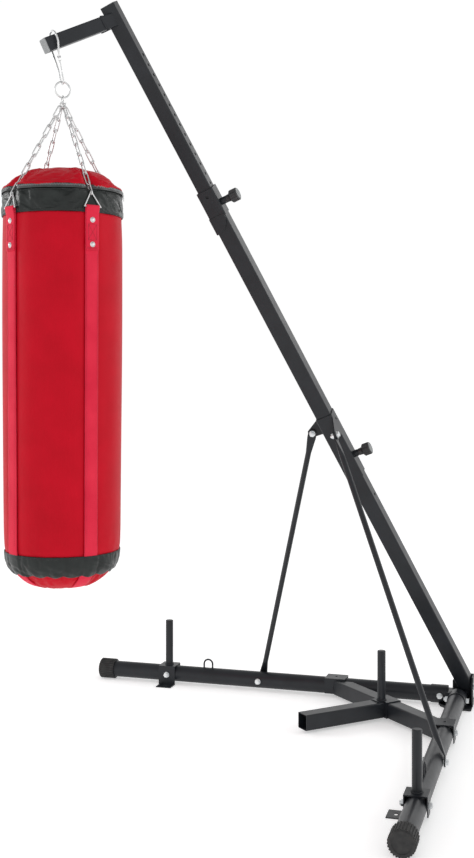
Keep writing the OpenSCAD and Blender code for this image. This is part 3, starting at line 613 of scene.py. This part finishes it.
def make_skin():
    """The long red tube, held in by its four straps and sewn to the bands."""
    rows = 96
    low, high = FOOT_HIGH - 0.006, BAND_LOW + 0.002

    def height(i):
        return low + (high - low) * i / (rows - 1)

    def point(i, j):
        theta = TAU * j / COLS
        z = height(i)
        held = under_strap(theta)
        ends = min(i, rows - 1 - i) / 8
        bulge = 0.0016 * smooth(ends, 0, 1)
        sway = 0.0009 * noise.noise(Vector((math.cos(theta) * 1.4, math.sin(theta) * 1.4, z * 3)))
        pucker = 0.0008 * ridges(theta, z, 2.0, 19) * math.exp(-ends * 1.1)
        r = foot_radius(z) - 0.0019 + (bulge + sway * smooth(ends, 0, 1) + pucker) * (1 - held)
        return on_bag(theta, r - 0.0009 * held, z)

    mesh = grid("bag_skin", rows, COLS, point, lambda i, j: (TAU * j / COLS * BAG_R, height(i)))
    piece = finish_piece("bag_skin", mesh, "bag_canvas", replaces=("bag_body",))

    def hold(i, theta):
        return 1.0 if i in (0, 1, rows - 2, rows - 1) else under_strap(theta)

    pins = pinned(rows, hold)
    job = (piece, pins, {"bending": 0.8, "pressure": 2.2, "slack": 0.0, "gravity": 0.1}, 0.0016)
    return piece, job


def chain_line(z):
    """Radius of the triangles' and chains' inner side at a height."""
    if z < APEX_Z:
        return BAR_R - (BAR_R - APEX_R) * (z - BAR_Z) / (APEX_Z - BAR_Z) - 0.0035
    fall = (APEX_R - CHAIN_RING_R) / (CHAIN_RING_Z - APEX_Z)
    return APEX_R - fall * (z - APEX_Z) - 0.0035 - 0.0075 * smooth(z, APEX_Z, APEX_Z + 0.012)


def dented(r, theta, z):
    """r, pressed in where a triangle or a chain lies on the cloth."""
    if z < BAR_Z:
        return r
    reach = 0.17 - 0.07 * smooth(z, BAR_Z, APEX_Z + 0.02)
    near = math.exp(-(abs(from_strap(theta) / reach) ** 2.6))
    return r + (min(r, chain_line(z)) - r) * near


def crown(z):
    """Radius of the bag's full, round top at a height."""
    t = max(0.0, min(1.0, (z - ROUND_Z) / CROWN_RISE))
    return BAG_R * math.sqrt(1 - t * t)


def shoulder(z, theta):
    """Radius of the round top at a height and angle, with its dents."""
    return dented(crown(z), theta, z)


def make_top_band():
    """Wrinkled black band between the skin and the zip."""
    rows = 40
    low, high = BAND_LOW - 0.003, HEM_Z

    def height(i):
        return low + (high - low) * i / (rows - 1)

    def point(i, j):
        theta = TAU * j / COLS
        t = i / (rows - 1)
        z = height(i)
        body = math.sin(math.pi * t) ** 0.7
        fold = 0.0030 * ridges(theta, z, 5.0, 13) * body
        drag = 0.0026 * ridges(theta + 1.6 * t, z, 9.0, 9) * body
        tuck = 0.0012 * (1 - smooth(z, TAPE_LOW - 0.0015, TAPE_LOW + 0.0015))
        r = crown(z) + min(fold + drag, 0.0012) + tuck - 0.0009
        return on_bag(theta, dented(r, theta, z), z)

    mesh = grid("upper_band", rows, COLS, point, lambda i, j: (TAU * j / COLS * BAG_R, height(i)))
    piece = finish_piece("upper_band", mesh, "trim_leatherette", replaces=("top_band",))

    def hold(i, theta):
        return 1.0 if i in (0, rows - 1) or abs(from_strap(theta)) < 0.2 else 0.0

    pins = pinned(rows, hold)
    job = (piece, pins, {"bending": 1.0, "pressure": 0.3, "slack": 0.03, "gravity": 0.2}, 0.0022)
    return piece, job


def hem_drop(theta):
    """How far the cover's loose hem hangs below the seam over the zip."""
    low_side = 0.0035 * (1 + math.cos(theta - 0.45))
    loose = 0.0032 * (1 + ridges(theta, 0.0, 12.0, 6))
    return 0.0012 + low_side * 0.5 + loose + 0.0006 * math.sin(31 * theta)


def make_cover():
    """Puckered red cover over the top, with its loose hem below row `crest`."""
    rows = 50
    crest = 44
    rim = math.acos((HEM_Z - ROUND_Z) / CROWN_RISE)

    def point(i, j):
        theta = TAU * j / COLS
        if i > crest:
            t = (i - crest) / (rows - 1 - crest)
            z = HEM_Z - hem_drop(theta) * t
            r = crown(z) + 0.0034 + 0.0012 * ridges(theta, t, 1.0, 15) * t
            return on_bag(theta, dented(r, theta, z) + 0.0012, z)
        t = i / crest
        a = t * rim
        fold = ridges(theta, t, 1.0, 9) * (0.4 + 0.6 * t) + 0.4 * ridges(theta + t, t, 4.0, 21) * t
        grow = smooth(t, 0.05, 0.6)
        wide = Vector((math.sin(a) * math.cos(theta), math.sin(a) * math.sin(theta), 0.3))
        sag = 0.0045 * noise.noise(wide * 2.6)
        lift = (0.0036 * fold * grow + sag) * (1 - 0.5 * t**6) - 0.002
        r = (BAG_R + lift) * math.sin(a)
        z = ROUND_Z + (CROWN_RISE + lift) * math.cos(a)
        return on_bag(theta, dented(r + 0.0025 * t**8, theta, z) + 0.0010 * t**8, z)

    def uv(i, j):
        r = BAG_R * i / crest
        return (0.5 + r * math.cos(TAU * j / COLS), 0.5 + r * math.sin(TAU * j / COLS))

    mesh = grid("top_cover_cloth", rows, COLS, point, uv)
    mesh.flip_normals()
    close_pole(mesh, 0)
    piece = finish_piece("top_cover_cloth", mesh, "bag_canvas", replaces=("top_cover",))
    pins = []
    for vert in mesh.vertices:
        spot = vert.co - on_bag(0, 0, 0)
        far = math.hypot(spot.x, spot.y) > 0.086
        held = far and abs(from_strap(math.atan2(spot.y, spot.x))) < 0.16
        pins.append(1.0 if vert.co.z < HEM_Z + 0.004 or held else 0.0)
    job = (piece, pins, {"bending": 1.2, "pressure": 0.8, "slack": 0.02, "gravity": 0.25}, 0.0035)
    return piece, job


def close_pole(mesh, row):
    """Turns a row of coincident points into one shared point."""
    work = bmesh.new()
    work.from_mesh(mesh)
    work.verts.ensure_lookup_table()
    ring = [work.verts[row * COLS + j] for j in range(COLS)]
    middle = sum((v.co for v in ring), Vector()) / COLS
    for vert in ring:
        vert.co = middle
    bmesh.ops.remove_doubles(work, verts=ring, dist=1e-4)
    work.to_mesh(mesh)
    work.free()


def foot_radius(z):
    """Radius of the bag's skin at a height, rounding in at the foot."""
    start = FOOT_HIGH + 0.023
    full = BAG_R - 0.0045 * smooth(BAND_LOW - z, 0.1, 0.95)
    if z >= start:
        return full
    t = min(1.0, (start - z) / (start - BAG_LOW))
    return full * (1 - 0.72 * (1 - math.sqrt(1 - t * t)))


def over_strap(theta):
    """1 where the foot band lies over a strap, 0 away from it."""
    return 1 - smooth(abs(from_strap(theta)), 0.125, 0.18)


def foot_face(z, theta):
    """Radius of the foot band's face, which swells over each strap."""
    return foot_radius(z) + 0.0014 + 0.0029 * over_strap(theta)


def foot_hem(theta):
    """Height of the scalloped lower edge of the foot band."""
    spot = Vector((math.cos(theta), math.sin(theta), 7))
    scallop = abs(math.sin(9.5 * theta + 1.2 * noise.noise(spot)))
    return FOOT_LOW - 0.009 - 0.0065 * scallop


def make_foot_band():
    """Black band round the foot, gathered to a scalloped edge."""
    rows = 26

    def point(i, j):
        theta = TAU * j / COLS
        t = i / (rows - 1)
        z = foot_hem(theta) + (FOOT_HIGH + 0.001 - foot_hem(theta)) * t
        over = (0.0029 + 0.0026 * (1 - t)) * over_strap(theta)
        gather = 0.0032 * (1 + ridges(theta, z, 3.0, 29)) * (1 - t)
        wave = 0.0012 * (1 + ridges(theta + t, z, 8.0, 17))
        return on_bag(theta, foot_radius(z) + 0.0010 + over + (gather + wave) * (1 - t**3), z)

    def uv(i, j):
        return (TAU * j / COLS * BAG_R, FOOT_LOW + 0.06 * i / rows)

    mesh = grid("foot_band", rows, COLS, point, uv)
    piece = finish_piece("foot_band", mesh, "trim_leatherette", replaces=("bottom_band",))

    def hold(i, theta):
        return 1.0 if i in (0, rows - 1) or abs(from_strap(theta)) < 0.17 else 0.0

    pins = pinned(rows, hold)
    job = (piece, pins, {"bending": 1.0, "pressure": 0.6, "slack": 0.02, "gravity": 0.2}, 0.0025)
    return piece, job


def make_foot():
    """Gathered red bottom: a rounded side, then a flat from `bend` inward."""
    rows = 44
    bend = 0.6
    start = FOOT_LOW + 0.006
    rim = foot_radius(FOOT_FLAT) - 0.002

    def point(i, j):
        theta = TAU * j / COLS
        t = i / (rows - 1)
        fold = ridges(theta, t, 6.0, 25) + 0.5 * ridges(theta + 0.6 * t, t, 2.0, 15)
        free = smooth(abs(from_strap(theta)), 0.12, 0.2)
        lift = 0.0024 * fold * math.sin(math.pi * min(1.0, t * 1.02)) ** 0.5
        if t < bend:
            a = t / bend
            z = start + (FOOT_FLAT - start) * math.sin(a * TAU / 4)
            below = smooth(FOOT_LOW - 0.011 - z, 0, 0.006)
            return on_bag(theta, foot_radius(z) - 0.0026 + lift * free * below, z)
        a = (t - bend) / (1 - bend)
        return on_bag(theta, rim * (1 - a), FOOT_FLAT + 0.5 * abs(lift) * free * (1 - a))

    def uv(i, j):
        r = BAG_R * (1.3 - i / rows)
        return (r * math.cos(TAU * j / COLS), r * math.sin(TAU * j / COLS))

    mesh = grid("foot_cloth", rows, COLS, point, uv)
    mesh.flip_normals()
    close_pole(mesh, rows - 1)
    piece = finish_piece("foot_cloth", mesh, "bag_canvas", replaces=("bottom_cover",))
    pins = []
    for vert in mesh.vertices:
        spot = vert.co - on_bag(0, 0, 0)
        held = abs(from_strap(math.atan2(spot.y, spot.x))) < 0.17
        low = math.hypot(spot.x, spot.y) < 0.05
        pins.append(1.0 if vert.co.z > FOOT_LOW - 0.016 or held or low else 0.0)
    job = (piece, pins, {"bending": 0.5, "pressure": 0.5, "slack": 0.02, "gravity": 0.0}, 0.003)
    return piece, job


def seam(name, z, r, width, material):
    """Two rows of stitches round the bag, either side of a seam."""
    rows = []
    for side in (-1, 1):
        level = z + side * width
        path = [on_bag(TAU * k / 240, r(level, TAU * k / 240), level) for k in range(241)]
        rows += stitch_row(path, 0.0042, 0.002, 0.0005)
    mesh = merged(name, rows)
    return finish_piece(name, mesh, "trim_leatherette", material=material)


# ---- Straps, rivets and zip ----


def strap_path(k):
    """Radius and height along the strap: folded end, loop, long run, and under the foot."""
    outer = BAG_R + GAP + 1.5 * STRAP_T + GAP
    loop = BAR_WIRE / 2 + GAP + STRAP_T / 2
    path = [(outer, LOOP_END_Z + n * 0.008) for n in range(13)]
    path += [
        (BAR_R + loop * math.cos(a), BAR_Z + loop * math.sin(a))
        for a in [math.radians(d) for d in range(-30, 215, 20)]
    ]
    z = BAR_Z - 0.012
    while z > FOOT_FLAT:
        path.append((foot_radius(z) + GAP + STRAP_T / 2, z))
        z -= 0.012 if z > FOOT_HIGH + 0.03 else 0.004
    rim = foot_radius(FOOT_FLAT)
    level = FOOT_FLAT - 0.0016 - 0.0006 * (k % 2)
    path += [(rim * (1 - n / 10), level) for n in range(1, 10)]
    return path


def make_strap(k):
    """Webbing strap with a folded, stitched end round the triangle's bar."""
    path = strap_path(k)
    across = 12
    turn = STRAP_TURNS[k]
    out = Vector((math.cos(turn), math.sin(turn), 0))
    side = Vector((-math.sin(turn), math.cos(turn), 0))

    def point(i, j):
        r, z = path[i]
        off = (j / (across - 1) - 0.5) * STRAP_W
        crown_up = 0.00025 * math.cos(off / STRAP_W * math.pi)
        round_in = (r - math.sqrt(max(r * r - off * off, 0))) * smooth(r, 0.05, 0.11)
        return on_bag(0, 0, z) + out * (r + crown_up - round_in) + side * off

    run = [0.0]
    for a, b in zip(path, path[1:]):
        run.append(run[-1] + math.dist(a, b))

    def uv(i, j):
        return (j / (across - 1) * STRAP_W, run[i])

    mesh = grid(f"strap_{k + 1}", len(path), across, point, uv, closed=False)
    piece = finish_piece(f"strap_{k + 1}", mesh, "strap_webbing")
    thicken(piece, STRAP_T * 0.96, 0.0)
    return piece


def strap_stitches(k):
    """Box and cross between the rivets, a row at the folded end, and the two long edges."""
    turn = STRAP_TURNS[k]
    face = BAG_R + GAP + 2 * STRAP_T + 0.0006
    low, high = RIVET_ZS[1] + 0.012, RIVET_ZS[0] - 0.012
    half = 0.013

    wide = 0.017

    def line(a, b, steps=12):
        across = [a[0] + (b[0] - a[0]) * t / steps for t in range(steps + 1)]
        up = [a[1] + (b[1] - a[1]) * t / steps for t in range(steps + 1)]
        return [on_bag(turn + x / face, face, z) for x, z in zip(across, up)]

    runs = [
        ((-half, low), (half, high)),
        ((half, low), (-half, high)),
        ((-half, low), (half, low)),
        ((-half, high), (half, high)),
        ((-half, low), (-half, high)),
        ((half, low), (half, high)),
        ((-wide, LOOP_END_Z + 0.004), (wide, LOOP_END_Z + 0.004)),
        ((-wide, LOOP_END_Z + 0.007), (wide, LOOP_END_Z + 0.007)),
    ]
    made = []
    for a, b in runs:
        made += stitch_row(line(a, b), 0.0034, 0.0012, 0.00055)
    single = BAG_R + GAP + STRAP_T + GAP
    for x in (-0.0165, 0.0165):
        path = [on_bag(turn + x / single, single, LOOP_END_Z - 0.01 - t * 0.02) for t in range(41)]
        made += stitch_row(path, 0.0034, 0.0016, 0.0004)
    return made


def make_rivets():
    """Domed tubular rivets on flat washers."""
    made = []
    face = BAG_R + GAP + 2 * STRAP_T
    washer = [(0, -0.001), (0.0078, -0.001), (0.0078, 0.0005), (0.0072, 0.0009), (0.0058, 0.001)]
    dome = [(0.0056, 0.0016), (0.0048, 0.0026), (0.0034, 0.0033), (0.0018, 0.0036), (0, 0.0037)]
    for k in range(4):
        for z in RIVET_ZS:
            theta = STRAP_TURNS[k]
            place = Matrix.Translation(on_bag(theta, face, z)) @ Matrix.Rotation(theta, 4, "Z")
            place = place @ Matrix.Rotation(TAU / 4, 4, "Y")
            made.append(lathe("rivet", washer + dome, place))
    finish_piece("domed_rivets", merged("domed_rivets", made), "rivet_steel", replaces=("rivets",))


def make_zip():
    """Coarse zip under the cover's hem: its tape and teeth."""
    rows = 5

    def tape(i, j):
        theta = TAU * j / COLS
        z = ZIP_Z - 0.008 + 0.014 * i / (rows - 1)
        return on_bag(theta, dented(crown(z) + 0.0016, theta, z) + 0.0004, z)

    mesh = grid("zip_tape", rows, COLS, tape, lambda i, j: (TAU * j / COLS * BAG_R, 0.02 * i / rows))
    piece = finish_piece("zip_tape", mesh, "zip_plastic", replaces=("zip",))
    thicken(piece, 0.0008, 1.0)
    work = bmesh.new()
    count = 300
    for k in range(count):
        theta = TAU * k / count
        side = 1 if k % 2 else -1
        z = ZIP_Z + side * 0.0009
        r = dented(crown(z) + 0.003, theta, z)
        place = Matrix.Translation(on_bag(theta, r, z)) @ Matrix.Rotation(theta, 4, "Z")
        place = place @ Matrix.Diagonal((0.0024, 0.0019, 0.0046, 1))
        bmesh.ops.create_cube(work, size=1, matrix=place)
    bmesh.ops.bevel(work, geom=work.edges[:], offset=0.0004, segments=1, affect="EDGES")
    teeth = bpy.data.meshes.new("zip_teeth")
    work.to_mesh(teeth)
    work.free()
    finish_piece("zip_teeth", teeth, "grey_plastic")


def make_slider():
    """Zip slider and its pull tab, at the back of the bag."""
    theta = STRAP_TURNS[0] + math.radians(62)
    place = Matrix.Translation(on_bag(theta, crown(ZIP_Z) + 0.0042, ZIP_Z))
    place = place @ Matrix.Rotation(theta, 4, "Z")
    work = bmesh.new()
    bmesh.ops.create_cube(work, size=1, matrix=place @ Matrix.Diagonal((0.003, 0.011, 0.008, 1)))
    pull = place @ Matrix.Translation((0.0024, 0, -0.012)) @ Matrix.Diagonal((0.0016, 0.006, 0.02, 1))
    bmesh.ops.create_cube(work, size=1, matrix=pull)
    bmesh.ops.bevel(work, geom=work.edges[:], offset=0.0007, segments=2, affect="EDGES")
    mesh = bpy.data.meshes.new("zip_slider")
    work.to_mesh(mesh)
    work.free()
    finish_piece("zip_slider", mesh, "bright_chain")


def make_stuffing():
    """Foam lining and the settled rags inside it."""
    rows = 40

    def wall(i, j):
        z = FOOT_HIGH + 0.01 + (BAND_LOW - FOOT_HIGH - 0.02) * i / (rows - 1)
        theta = TAU * j / COLS
        ripple = 0.0008 * noise.noise(Vector((math.cos(theta) * 3, math.sin(theta) * 3, z * 9)))
        return on_bag(theta, BAG_R - 0.009 + ripple, z)

    foam_mesh = grid("foam_lining", rows, COLS, wall, lambda i, j: (j / COLS, i / rows))
    lining = finish_piece("foam_lining", foam_mesh, "lining_foam", replaces=("bag_lining",))
    thicken(lining, 0.014)
    work = bmesh.new()
    bmesh.ops.create_icosphere(work, subdivisions=5, radius=1)
    low, high = FOOT_LOW + 0.012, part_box("bag_filling")[1].z
    for vert in work.verts:
        lump = 0.5 + 0.5 * noise.noise(vert.co * 4.5) + 0.25 * noise.noise(vert.co * 11)
        across = Vector((vert.co.x, vert.co.y, 0))
        reach = min(1.0, 1.25 * across.length) * (BAG_R - 0.032) * (0.93 + 0.07 * lump)
        spot = across.normalized() * reach if across.length > 1e-6 else Vector()
        z = (low + high) / 2 + vert.co.z * (high - low) / 2 * (0.9 + 0.1 * lump)
        vert.co = on_bag(0, 0, z) + spot
    mesh = bpy.data.meshes.new("rag_wad")
    work.to_mesh(mesh)
    work.free()
    finish_piece("rag_wad", mesh, "rag_filling", replaces=("bag_filling",))


def make_bag():
    """The whole bag: settled cloth, then straps, rivets, zip, stuffing and seams."""
    made = [make_skin(), make_top_band(), make_cover(), make_foot_band(), make_foot()]
    settle([job for _piece, job in made])
    skin, band, cover, foot_band, foot = [piece for piece, _job in made]
    for piece in (skin, band, cover, foot_band, foot):
        thicken(piece, 0.0012 if piece is cover else 0.0014)
    straps = [make_strap(k) for k in range(4)]
    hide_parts("straps")
    stitches = []
    for k in range(4):
        stitches += strap_stitches(k)
    sewn = merged("strap_stitches", stitches)
    finish_piece("strap_stitches", sewn, "strap_webbing", material=RED_THREAD)
    make_rivets()
    make_zip()
    make_slider()
    make_stuffing()
    seam("upper_seam", BAND_LOW + 0.003, lambda z, a: shoulder(z, a) + 0.001, 0.002, BLACK_THREAD)
    seam("tape_seam", TAPE_LOW - 0.002, lambda z, a: shoulder(z, a) + 0.0018, 0.0009, BLACK_THREAD)
    seam("foot_seam", FOOT_HIGH - 0.004, foot_face, 0.002, BLACK_THREAD)


# ---- Details on the metal ----

# The mast leans back-to-front along MAST_UP, with two faces to the rear.
MAST_UP = Vector((0, -math.sin(MAST_LEAN), math.cos(MAST_LEAN)))
MAST_BACK = Vector((0, math.cos(MAST_LEAN), math.sin(MAST_LEAN)))
ACROSS = Vector((1, 0, 0))
FACE_RIGHT = (ACROSS + MAST_BACK) / math.sqrt(2)
FACE_LEFT = (MAST_BACK - ACROSS) / math.sqrt(2)


def weld(name, path, radius, body):
    """Rippled weld bead along a closed path."""
    mesh = sweep(name, path, radius, sides=8, closed=True, ripple=0.16, pitch=0.0032)
    finish_piece(name, mesh, "frame_paint", body=body)


def make_post_welds():
    """Bead round the base of each upright post."""
    turns = [TAU * k / 96 for k in range(96)]
    for node in ("post_left", "post_right", "centre_post"):
        low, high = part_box(node)
        centre = Vector(((low.x + high.x) / 2, (low.y + high.y) / 2, low.z + 0.0008))
        radius = (high.x - low.x) / 2 + 0.0006
        path = [centre + Vector((radius * math.cos(a), radius * math.sin(a), 0)) for a in turns]
        weld(node + "_weld", path, 0.0024, "stand")


def make_arm_weld():
    """Bead round the square arm, just out from the front faces of the upper tube."""
    tube = 0.0225
    half = 0.0203
    slope = math.radians(26)
    way = Vector((0, -math.cos(slope), -math.sin(slope)))
    up = Vector((0, -math.sin(slope), math.cos(slope)))
    base = MAST_FOOT + MAST_UP * 2.511
    outline = []
    steps = 12
    corners = [(-half, -half), (half, -half), (half, half), (-half, half)]
    for a, b in zip(corners, corners[1:] + corners[:1]):
        for t in range(steps):
            outline.append((a[0] + (b[0] - a[0]) * t / steps, a[1] + (b[1] - a[1]) * t / steps))
    path = []
    for u, v in outline:
        spot = ACROSS * u + up * v
        fronts = (-FACE_LEFT, -FACE_RIGHT)
        reach = max((tube - spot.dot(normal)) / way.dot(normal) for normal in fronts)
        path.append(base + spot + way * (reach + 0.0006))
    weld("arm_weld", path, 0.0022, "upper_mast")


def make_knob_faces():
    """Grey pressed disc in the end of each pull knob."""
    for node, body in (("upper_knob", "upper_pull"), ("lower_knob", "lower_pull")):
        mesh = frame["nodes"][node].data
        reach = max(v.co.dot(FACE_RIGHT) for v in mesh.vertices)
        low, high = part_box(node)
        middle = (low + high) / 2
        centre = middle + FACE_RIGHT * (reach - middle.dot(FACE_RIGHT))
        place = Matrix.Translation(centre) @ FACE_RIGHT.to_track_quat("Z", "Y").to_matrix().to_4x4()
        rim = [(0, -0.0008), (0.0165, -0.0008), (0.0168, 0.0004), (0.0160, 0.0010)]
        face = [(0.0150, 0.0005), (0.0080, 0.0006), (0.0074, 0.0011), (0, 0.0012)]
        name = node + "_disc"
        disc = lathe(name, rim + face, place, 40)
        finish_piece(name, disc, "grey_plastic", body=body)


make_camera()
make_studio()
paint_cad()
make_bag()
make_post_welds()
make_arm_weld()
make_knob_faces()
